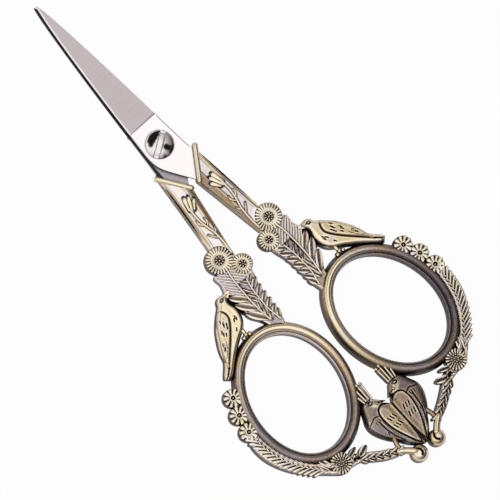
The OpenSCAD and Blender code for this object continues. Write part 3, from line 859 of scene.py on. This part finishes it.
def few_petalled(centre, radius, count):
    """Flower of separate petals round a ring and a dot."""
    profile = [(0.05, 3.3, 0.2), (0.2, 3.3, 0.05), (0.26, 3.74, 0.9), (0.38, 3.72, 0.8), (0.46, 3.3, 0.1),
               (0.9, 3.0, 0.05), (1.0, 2.7, 0.4), (1.0, CLEAR, 0.3)]
    width = 0.82 * TAU * 0.82 * radius / count
    dot = [(0.15, 3.85, 1.0), (0.6, 3.8, 0.9), (1.0, 3.5, 0.4), (1.0, 3.0, 0.1)]
    return join(
        disc(centre, radius, profile), petals_round(centre, count, 0.3 * radius, 0.985 * radius, width),
        disc(centre, 0.12 * radius, dot, 16))


def beaded(centre, radius, count):
    """Flower of short petals round a dark middle with two rings of beads."""
    profile = [(0.05, 3.5, 0.3), (0.5, 3.5, 0.3), (0.6, 3.35, 0.1), (0.9, 3.0, 0.05), (1.0, 2.7, 0.4),
               (1.0, CLEAR, 0.3)]
    width = 0.78 * TAU * 0.82 * radius / count
    rings = [petals_round(centre, beads, low * radius, high * radius, 0.6 * TAU * high * radius / beads)
             for beads, low, high in ((12, 0.33, 0.5), (6, 0.12, 0.27))]
    return join(
        disc(centre, radius, profile), petals_round(centre, count, 0.55 * radius, 0.985 * radius, width),
        *rings)


def flowers():
    """Two at the end of the shank, one below the bow and three beside it."""
    along_bow = [few_petalled(by_bow(degrees, 0.5), 2.1, 10) for degrees in (21.5, 8, -6)]
    return join(many_petalled(BIG_FLOWER, 3.1, 25, 9), many_petalled(SMALL_FLOWER, 2.35, 20, 6),
                beaded(by_bow(-91, 1.25), 2.45, 19), *along_bow)


UPPER_RIB = bend([[20.4, -76.0], [21.6, -74.6], [23.1, -72.8], [24.9, -70.1], [26.3, -67.0], [27.1, -63.8],
                  [27.4, -60.6]])
LOWER_RIB = bend([[13.2, -79.3], [11.2, -80.5], [8.6, -81.9], [6.2, -83.2]])


def foliage():
    """Leaf sprays between shank and bow, and garlands outside the bow."""
    stalks = [
        # Outside the long rib
        (8.1, -37.7, 11.2, -34.6, 1.55), (8.0, -40.4, 11.2, -36.6, 1.65), (7.75, -43.4, 10.6, -39.35, 1.75),
        # Between the ribs
        (5.5, -35.4, 7.2, -33.4, 0.85), (6.0, -37.2, 7.6, -34.8, 0.85), (6.1, -38.5, 7.6, -36.3, 0.85),
        (6.2, -39.8, 7.5, -37.8, 0.85), (7.6, -41.5, 6.7, -38.5, 0.9), (7.5, -43.4, 6.6, -40.5, 0.95),
        # Towards the middle of the scissors
        (5.4, -34.6, 3.3, -33.0, 1.2), (5.8, -36.5, 3.6, -34.8, 1.3), (6.0, -38.3, 3.9, -36.6, 1.3),
        (6.1, -40.1, 4.1, -38.4, 1.3), (6.15, -41.8, 4.2, -40.1, 1.3), (6.1, -43.5, 4.4, -41.8, 1.25),
        (5.75, -45.2, 4.6, -42.9, 1.35), (7.2, -44.4, 6.1, -42.2, 1.1),
        # Above the low flower
        (18.9, -76.5, 20.3, -73.0, 1.15), (19.9, -77.0, 21.7, -73.6, 1.15),
    ]
    below_low_flower = [(13.0, -78.6, 10.2, -77.7, 1.5), (14.9, -77.3, 12.3, -76.4, 1.1)]
    long_rib = [[7.4, -30.0], [7.75, -32], [7.95, -35], [8.0, -38], [7.85, -41], [7.5, -43.9]]
    short_rib = [[5.5, -34.0], [6.0, -36.5], [6.2, -39.5], [6.2, -42], [5.6, -45.3]]
    berry = [(0.15, 3.85, 1.0), (0.6, 3.78, 1.0), (1.0, 3.5, 0.3), (1.0, 3.0, 0.1)]
    berries = ((12.0, -78.0), (12.8, -78.75), (13.3, -78.0), (13.95, -78.8), (14.2, -77.9), (14.9, -78.75))
    return join(
        sprig(stalks),
        leaf_row(UPPER_RIB, 16, (1.9, 2.9), (0.9, 0.72), (25, 33)),
        dulled(leaf_row(LOWER_RIB, 6, (2.0, 2.1), (0.8, 0.7), (26, 26), 0.95), 0.8),
        dulled(sprig(below_low_flower), 0.7),
        bar(long_rib, 0.25, 3.68, 1.0, 10, 0.4), bar(short_rib, 0.22, 3.56, 1.0, 10, 0.4),
        *[disc(spot, 0.27, berry, 12) for spot in berries])


def beds():
    """Sunk ground under the two garlands and under the low bird's crest."""
    upper = np.concatenate([
        bend([[28.8, -60.4], [29.15, -63], [28.75, -66], [27.6, -69], [25.8, -71.9], [23.1, -74.8],
              [20.8, -76.9], [18.6, -78.9]]),
        bend([[17.5, -76.5], [19.5, -74.5], [22.0, -72.4], [24.3, -69], [25.4, -66], [26.0, -63],
              [26.3, -60.5]])])
    lower = np.concatenate([
        bend([[16.0, -79.3], [13.2, -79.9], [11.2, -81.6], [9.0, -83.1], [6.6, -84.2], [5.2, -84.4]]),
        bend([[4.7, -83.0], [6.3, -82.0], [8.6, -80.6], [10.4, -79.3], [12.2, -77.9], [14.5, -77.0]])])
    crest = np.array([[2.35, -67.1], [2.35, -68.5], [2.5, -71.0], [4.5, -71.2], [4.85, -69.0], [4.6, -67.4]])
    shapes = []
    side_z, sunk = 2.0, 0.3
    # Outline, height of the rim, rub of the ground, and what its rim has more
    for loop, top, ground, rim in ((upper, 3.55, 0.5, 0.0), (lower, 3.0, 0.08, 0.2), (crest, 2.6, 0.05, 0.0)):
        def height(points, d):
            return side_z + (top - side_z) * dome(d, 0.35) - sunk * np.clip((d - 0.8) / 0.2, 0, 1)

        shapes.append(relief(loop, height, pitch=0.2,
                             wear_and_light=lambda points, d: ground + rim * np.clip(3.2 - d / 0.3, 0, 1)))
    return join(*shapes)


def trim():
    """Rim of the socket, bud and stem on the shank, crest, feet and the scroll's stem."""
    across = (MOUTH_IN - MOUTH_OUT) / np.linalg.norm(MOUTH_IN - MOUTH_OUT)
    inward = 0.45 * np.array([across[1], -across[0]]) * np.sign(across[0])
    shapes = [bar([MOUTH_OUT + inward, MOUTH_IN + inward], 0.64, 3.52, 1.0, 16),
              bar(STEM, 0.28, 3.9, 1.2), sprig(BUD, 0.3, PETAL)]
    shapes += [bar(curl, ((0, 0.15), (0.6, 0.28), (1, 0.12)), 3.88, 1.2) for curl in CURLS]
    # Crest that joins a low bird's head to the bow, with round ends there
    plume = ((0, 0.2), (0.74, 0.24), (0.82, 0.18), (0.9, 0.38), (1, 0.38))
    for foot, end in (((2.55, -70.9), (2.35, -67.0)), ((3.25, -70.7), (3.2, -66.8)),
                      ((3.95, -70.7), (4.15, -67.0)), ((4.5, -70.9), (4.95, -68.3))):
        shapes.append(bar([foot, end], plume, 3.6, 0.95))
    # Foot of the perched bird, with claws on the bow
    claw = [(0.15, 3.85, 1.1), (0.6, 3.78, 1.1), (0.9, 3.55, 0.8), (1.0, 3.3, 0.1), (1.0, 2.6, 0.1)]
    shapes.append(bar([[13.6, -41.6], [13.65, -42.6]], 0.45, 3.2))
    shapes += [disc(spot, 0.52, claw, 16) for spot in ((12.9, -43.15), (13.7, -42.75), (14.5, -43.1))]
    # Leg of the low bird, and the garland's plain end
    shapes.append(bar([[4.8, -80.9], [5.15, -82.2], [5.2, -83.3]], 0.55, 3.0, 0.5))
    shapes.append(bar([[5.7, -83.5], [4.4, -84.5], [3.2, -85.7]], 0.78, 3.2, 0.85, 16))
    return join(*shapes)


def scroll():
    """Round end below the garland, with its curl cut in."""
    curl = bend([[3.5, -85.7], [2.7, -85.45], [2.1, -86.1], [2.1, -86.9], [2.5, -87.3]], 0.2)
    return relief(circle(SCROLL, 1.95, 63), lambda points, d: FOOT + (CAST_TOP - FOOT) * dome(d, 1.5),
                  lambda points, z, d: groove(points, z, curl, 0.3, 0.6), pitch=0.14, wear_and_light=0.75)


# Blades and screw

EDGE_W, SPINE_W, REACH = 4.4, 3.9, 40.0     # from the pivot to the edge, to the spine and to the tip
BLADE_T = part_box("front_blade")[1].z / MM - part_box("front_blade")[0].z / MM
SHOULDER, SLOPE = 5.7, math.tan(math.radians(7.5))


def edge_x(y):
    """How far the cutting edge lies from the axis."""
    return EDGE_W * (1 - y / REACH) ** 0.7


def blade():
    """Blade with its flat face at height 0 and its spine towards -X. Past the shoulder it is ground."""
    y = np.concatenate([np.linspace(0, SHOULDER, 8), np.linspace(SHOULDER + 0.1, REACH - 0.03, 90)])
    crossing = 0.22 * (y / REACH) ** 5      # the two tips cross a little
    spine = np.column_stack([crossing - SPINE_W * (1 - y / REACH) ** 0.76, y])
    edge = np.column_stack([crossing + edge_x(y) - 0.17 * (y < SHOULDER), y])
    heel = bend([[0.5, -10.1], [-0.4, -8.8], [-1.5, -7.1], [-2.85, -4.95], [-3.55, -3.3], [-3.8, -2.3],
                 [-3.9, -1.4]], 0.3)
    tang = [[4.6, -4.2], MOUTH_OUT + [0.0, -0.3], [4.75, -8], [2.35, -11.3], [0.95, -10.85]]
    back = np.concatenate([[[-3.8, -2.3], [-3.9, -1.4]], spine])
    front = np.concatenate([[[4.6, -4.2]], edge[y < SHOULDER]])

    def height(points, d):
        ground = BLADE_T - 0.06 - SLOPE * (points[:, 0] + SPINE_W)
        z = np.where(points[:, 1] > SHOULDER, np.minimum(BLADE_T, ground), BLADE_T)
        # Broken edges along the back and in front of the shoulder
        z = z - 0.16 * (1 - np.clip(distance(points, back) / 0.26, 0, 1))
        z = z - 0.12 * (1 - np.clip(distance(points, front) / 0.16, 0, 1))
        return np.maximum(z, 0.12)

    return relief(np.concatenate([heel, spine, edge[::-1], tang]), height, wear_and_light=0.5, base=0.0, pitch=0.13,
                  fine_base=True)


def screw():
    """Domed screw head with a slot. Its shaft ends flush with the lower blade."""
    low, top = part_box("pivot_screw")
    radius = (top.x - low.x) / 2 / MM
    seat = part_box("front_blade")[1].z / MM + 0.03
    across = turned(0, 1, math.radians(33))     # the slot
    crown, depth, half_width = 0.74, 0.55, 0.72

    def height(points, d):
        r = np.hypot(points[:, 0], points[:, 1]) / radius
        z = top.z / MM - crown * r ** 2 - 0.12 * np.clip((r - 0.93) / 0.07, 0, 1) ** 2
        slot = depth * np.clip((half_width - np.abs(points @ across)) / 0.12, 0, 1)
        return z - np.where(r < 1, slot, 0)

    head = relief(circle(np.zeros(2), radius, 96), height, pitch=0.09, wear_and_light=0.5, base=seat)
    shaft = [(0.05, seat + 0.1, 0.5), (1.0, seat + 0.1, 0.5), (1.0, low.z / MM + 0.15, 0.5),
             (0.93, low.z / MM, 0.5), (0.05, low.z / MM, 0.5)]
    return join(head, disc((0, 0), 2.0, shaft))


# Dressing the nodes

def dress(name, shape, body, materials, node, warmth=0.5):
    """Makes one piece of a shape, lets it ride on its body and hides the plain node it stands for."""
    piece = new_piece(name, *shape, warmth)
    for material in materials:
        piece.data.materials.append(material)
    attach(piece, body)
    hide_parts(node)
    return piece


def low_bird_tone(p):
    """The wing and the face are warmer than the rest."""
    return np.where(inside(p, LOW_WING) | (p[:, 1] > -73.4) & (p[:, 0] < 3.2), 0.7, 0.35)


# Each cast part with its tone, from silvery to gold
PARTS = (
    ("bow", bow, bow_tone), ("shank", shank, lambda p: np.where(inside(p, PANEL), 0.15, 0.7)),
    ("spray_ground", web, 0.15), ("perched_bird", perched_bird, 0.72), ("low_bird", low_bird, low_bird_tone),
    ("flowers", flowers, 0.6), ("foliage", foliage, 0.45), ("garland_ground", beds, 0.4), ("trim", trim, 0.8),
    ("scroll", scroll, 0.8),
)
# Painted light and shade on each half, at its foot and near the blades: the rear half comes out
# lighter than the front one, and both darker towards the foot. The front bow is painted lighter on its inner
# side than on its outer one
FOOT_Y, NECK_Y = -78, -50
HALF_LIGHT = {"front": (0.8, 0.93), "rear": (0.92, 1.08)}
FRONT_BOW_LIGHT = ((2, 1.25), (12, 1.0), (27, 0.72))

for part, make, warmth in PARTS:
    shape = make()
    for half, rub in HALF_LIGHT.items():
        vertices, faces = mirrored(*shape) if half == "rear" else (np.array(shape[0]), shape[1])
        vertices[:, 3] *= np.interp(vertices[:, 1], [FOOT_Y, NECK_Y], rub)
        if part == "bow" and half == "front":
            vertices[:, 3] *= np.interp(vertices[:, 0], *zip(*FRONT_BOW_LIGHT))
        dress(f"{half}_{part}", (vertices, faces), half + "_half", [BRONZE],
              half + "_handle", warmth)


def finish_of(face, over):
    """Which steel a blade's face shows, by its tilt and its place. Side walls are painted dark as
    shade. The flat inner face is hollow ground, up to a line along the cutting edge that is painted
    dark as the other blade's shade."""
    wall, shade_line = 0.4, 0.5      # a side wall's tilt at most, and the line's width
    x, y = (face.center - PIVOT).xy / MM
    tilt, inner = abs(face.normal.z), face.normal.z * over < -0.9
    if tilt < wall or inner and edge_x(max(y, 0)) - x * over < shade_line:
        return SHADED_EDGE_STEEL
    if inner:
        return HOLLOW
    return SATIN if y > SHOULDER and 0.98 < tilt < 0.9999 else BUFFED


plate, faces = blade()
STEELS = [BUFFED, SATIN, SHADED_EDGE_STEEL, HOLLOW]
for half, corner, over in (("front", 0, 1), ("rear", 1, -1)):
    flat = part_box(half + "_blade")[corner].z / MM
    side = plate * [over, 1, over, 1] + [0, 0, flat, 0]
    piece = dress(half + "_blade_steel", (side, faces), half + "_half", STEELS,
                  half + "_blade")
    for face in piece.data.polygons:
        face.material_index = STEELS.index(finish_of(face, over))

dress("screw_head", screw(), "rear_half", [MIRROR], "pivot_screw")


# Stage, light and camera

# Where the studio's wall is paler, and dark flags round it: direction, and radius in degrees
PALE_SIDE = (-0.5, 0.86, 0.0)
FLAGS = (((0.59, 0.58, 0.56), 8), ((0.41, 0.59, 0.7), 12), ((0.17, 0.59, 0.79), 15),
         ((-0.08, 0.5, 0.86), 14), ((-0.28, 0.34, 0.9), 8), ((0.34, -0.35, 0.87), 11),
         ((0.41, -0.45, 0.79), 9), ((0.59, -0.56, 0.58), 9), ((0.38, -0.68, 0.63), 9),
         ((-0.07, -0.69, 0.72), 6))


def floor():
    """Table that is white to the camera and in mirrors, and keeps a faint shadow."""
    material, tree = new_material("white_table")
    ray = add(tree, "ShaderNodeLightPath").node.outputs
    seen = add(tree, "ShaderNodeMath", {0: ray["Is Camera Ray"], 1: ray["Is Glossy Ray"]},
               operation="MAXIMUM")
    seen = add(tree, "ShaderNodeMath", {0: seen, 1: ray["Is Transmission Ray"]}, operation="MAXIMUM")
    share = add(tree, "ShaderNodeMath", {0: seen, 1: 0.96}, operation="MULTIPLY")
    paint = add(tree, "ShaderNodeBsdfDiffuse", {"Color": linear("#ffffff")})
    white = add(tree, "ShaderNodeEmission", {"Color": linear("#ffffff"), "Strength": 1.0})
    mixed = add(tree, "ShaderNodeMixShader", {0: share, 1: paint, 2: white})
    add(tree, "ShaderNodeOutputMaterial", {"Surface": mixed})
    size = 6.0
    corners = [(x * size, y * size, 0) for x, y in ((-1, -1), (1, -1), (1, 1), (-1, 1))]
    mesh = bpy.data.meshes.new("table")
    mesh.from_pydata(corners, [], [(0, 1, 2, 3)])
    mesh.materials.append(material)
    table = bpy.data.objects.new("table", mesh)
    bpy.context.scene.collection.objects.link(table)


def world():
    """Pale studio: white for the camera. For the metal it has a bright ceiling over walls that are
    paler on one side, with dark flags that polished steel mirrors."""
    sky = bpy.data.worlds.new("studio")
    bpy.context.scene.world = sky
    sky.use_nodes = True
    tree = sky.node_tree
    tree.nodes.clear()
    ray = add(tree, "ShaderNodeLightPath").node.outputs
    seen = add(tree, "ShaderNodeMath", {0: ray["Is Camera Ray"], 1: ray["Is Transmission Ray"]},
               operation="MAXIMUM")
    direction = add(tree, "ShaderNodeTexCoord", out="Generated")
    up = add(tree, "ShaderNodeSeparateXYZ", {0: direction}, out="Z")
    pale = add(tree, "ShaderNodeValToRGB", {0: up}, (
        (0.0, "#b8b2ae"), (0.3, "#ccc6c2"), (0.6, "#f0ecea"), (0.8, "#ffffff"), (1.0, "#ffffff")))
    deep = add(tree, "ShaderNodeValToRGB", {0: up}, (
        (0.0, "#5c5658"), (0.3, "#3c373a"), (0.6, "#565054"), (0.82, "#b0aaac"), (0.94, "#ffffff")))
    side = add(tree, "ShaderNodeVectorMath", {0: direction, 1: PALE_SIDE}, out="Value",
               operation="DOT_PRODUCT")
    side = add(tree, "ShaderNodeMapRange", {0: side, 1: -0.6, 2: 0.6})
    tone = add(tree, "ShaderNodeMix", {0: side, 6: deep, 7: pale}, out=2, data_type="RGBA")
    for flag, size in FLAGS:
        way = Vector(flag).normalized()
        near = add(tree, "ShaderNodeVectorMath", {0: direction, 1: way}, out="Value", operation="DOT_PRODUCT")
        edge = [math.cos(math.radians(size + soft)) for soft in (3, -3)]
        cover = add(tree, "ShaderNodeMapRange", {0: near, 1: edge[0], 2: edge[1]})
        tone = add(tree, "ShaderNodeMix", {0: cover, 6: tone, 7: linear("#1c1a1b")}, out=2, data_type="RGBA")
    light = add(tree, "ShaderNodeBackground", {"Color": tone, "Strength": 1.12})
    white = add(tree, "ShaderNodeBackground", {"Color": linear("#ffffff"), "Strength": 1.0})
    mixed = add(tree, "ShaderNodeMixShader", {0: seen, 1: light, 2: white})
    add(tree, "ShaderNodeOutputWorld", {"Surface": mixed})


def softbox(name, place_m, size, watts):
    """Square lamp that faces the scissors and doesn't show in the steel."""
    lamp = bpy.data.lights.new(name, "AREA")
    lamp.shape = "SQUARE"
    lamp.size = size
    lamp.energy = watts
    holder = bpy.data.objects.new(name, lamp)
    holder.location = place_m
    holder.visible_glossy = False
    holder.rotation_mode = "QUATERNION"
    aim = Vector((0, -0.005, 0))
    holder.rotation_quaternion = (aim - Vector(place_m)).to_track_quat("-Z", "Y")
    bpy.context.scene.collection.objects.link(holder)


def camera():
    """Looks down on the scissors, tipped 10 degrees towards -X and rolled so that they lie aslant."""
    tilt, distance_m, view_w = math.radians(10), 2.0, 0.1074
    back = Vector((-math.sin(tilt), 0, math.cos(tilt)))
    side, ahead = Vector((math.cos(tilt), 0, math.sin(tilt))), Vector((0, 1, 0))
    roll = math.radians(41.9)
    right = math.cos(roll) * side - math.sin(roll) * ahead
    up = math.sin(roll) * side + math.cos(roll) * ahead
    target = Vector((-0.93, -5.51, 4.7)) * MM
    data = bpy.data.cameras.new("camera")
    data.lens = data.sensor_width * distance_m / view_w
    data.clip_end = 20
    holder = bpy.data.objects.new("camera", data)
    matrix = Matrix((right, up, back)).transposed().to_4x4()
    matrix.translation = target + back * distance_m
    holder.matrix_world = matrix
    bpy.context.scene.collection.objects.link(holder)
    bpy.context.scene.camera = holder


floor()
world()
softbox("side_softbox", (-0.75, 0.66, 1.0), 1.0, 3.0)
camera()
bpy.context.scene.view_settings.view_transform = "Standard"
